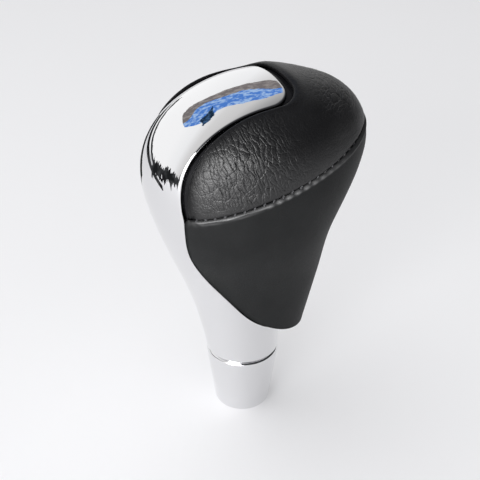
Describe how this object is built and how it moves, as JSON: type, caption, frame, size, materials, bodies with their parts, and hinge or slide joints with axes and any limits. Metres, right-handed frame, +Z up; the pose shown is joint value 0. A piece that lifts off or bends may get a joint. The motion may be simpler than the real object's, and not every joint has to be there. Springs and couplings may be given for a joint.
{
  "type": "gear shift knob",
  "caption": "Automatic gear lever knob with a chrome front and tongue, black leather grip panels sewn at a rising seam, a tapered chrome base collar and a threaded bush for the lever.",
  "frame": {"origin": "centre of the lever thread's mouth, in the plane of the base collar's lower face", "axes": "+Z up the lever thread, the chrome front faces -Y, the leather heel points to +Y"},
  "size_m": [0.0468, 0.0578, 0.098],
  "materials": {
    "chrome_trim": "mirror chrome plating on a plastic moulding",
    "grip_core": "gloss black plastic",
    "upper_leather": "black grained leather, creased",
    "lower_leather": "black leather, smoother grain",
    "seam_stitches": "black sewing thread",
    "threaded_insert": "machined brass",
    "base_collar": "satin-bright chrome plating"
  },
  "bodies": {
    "root": {"chrome_trim": "chrome_trim", "grip_core": "grip_core", "upper_leather": "upper_leather", "lower_leather": "lower_leather", "seam_stitches": "seam_stitches", "threaded_insert": "threaded_insert", "base_collar": "base_collar"}
  },
  "joints": []
}
